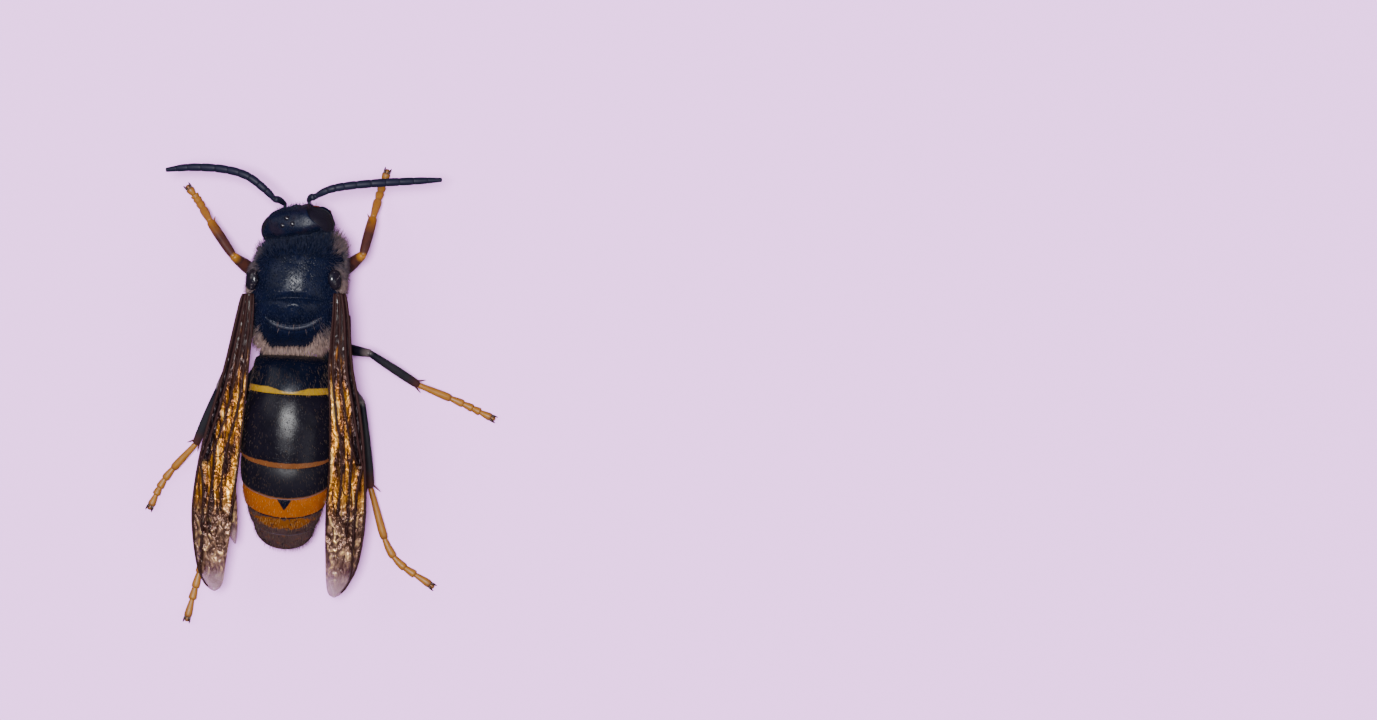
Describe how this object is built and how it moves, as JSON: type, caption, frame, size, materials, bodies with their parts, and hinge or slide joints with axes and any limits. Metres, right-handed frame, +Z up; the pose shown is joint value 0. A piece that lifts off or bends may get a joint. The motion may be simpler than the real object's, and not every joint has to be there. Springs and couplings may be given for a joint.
{
  "type": "asian hornet",
  "caption": "Life-size still model of a yellow-legged Asian hornet standing with its wings folded back and its legs and feelers spread.",
  "frame": {"origin": "on the floor under the middle of the insect's outline, at the middle of its bounding box", "axes": "+Y the way the head points, +Z up away from the floor, +X to the insect's right"},
  "size_m": [0.0233, 0.0301, 0.0069],
  "materials": {
    "dark_cuticle": "near-black insect shell with a cool satin sheen and short pile",
    "eye": "glossy dark compound eye with fine facets",
    "mandible": "hard orange-brown jaw with black teeth",
    "feeler": "matt blue-black ringed feeler",
    "gaster_plate": "satin black plates with yellow and orange bands and fine hair",
    "wing": "smoky amber membrane with dark raised veins",
    "dark_leg": "black to reddish-brown leg shell with short bristles",
    "yellow_foot": "golden yellow foot joints with fine hair and dark claws"
  },
  "bodies": {
    "root": {"head": "dark_cuticle", "eye_left": "eye", "eye_right": "eye", "mandible_left": "mandible", "mandible_right": "mandible", "scape_left": "feeler", "scape_right": "feeler", "flagellum_left": "feeler", "flagellum_right": "feeler", "pronotum": "dark_cuticle", "mesothorax": "dark_cuticle", "propodeum": "dark_cuticle", "tegula_left": "dark_cuticle", "tegula_right": "dark_cuticle", "gaster_1": "gaster_plate", "gaster_2": "gaster_plate", "gaster_3": "gaster_plate", "gaster_4": "gaster_plate", "gaster_5": "gaster_plate", "gaster_6": "gaster_plate", "forewing_left": "wing", "forewing_right": "wing", "hindwing_left": "wing", "hindwing_right": "wing", "coxa_front_left": "dark_leg", "coxa_front_right": "dark_leg", "coxa_mid_left": "dark_leg", "coxa_mid_right": "dark_leg", "coxa_hind_left": "dark_leg", "coxa_hind_right": "dark_leg", "femur_front_left": "dark_leg", "femur_front_right": "dark_leg", "femur_mid_left": "dark_leg", "femur_mid_right": "dark_leg", "femur_hind_left": "dark_leg", "femur_hind_right": "dark_leg", "tibia_front_left": "dark_leg", "tibia_front_right": "dark_leg", "tibia_mid_left": "dark_leg", "tibia_mid_right": "dark_leg", "tibia_hind_left": "dark_leg", "tibia_hind_right": "dark_leg", "tarsus_front_left": "yellow_foot", "tarsus_front_right": "yellow_foot", "tarsus_mid_left": "yellow_foot", "tarsus_mid_right": "yellow_foot", "tarsus_hind_left": "yellow_foot", "tarsus_hind_right": "yellow_foot"}
  },
  "joints": []
}
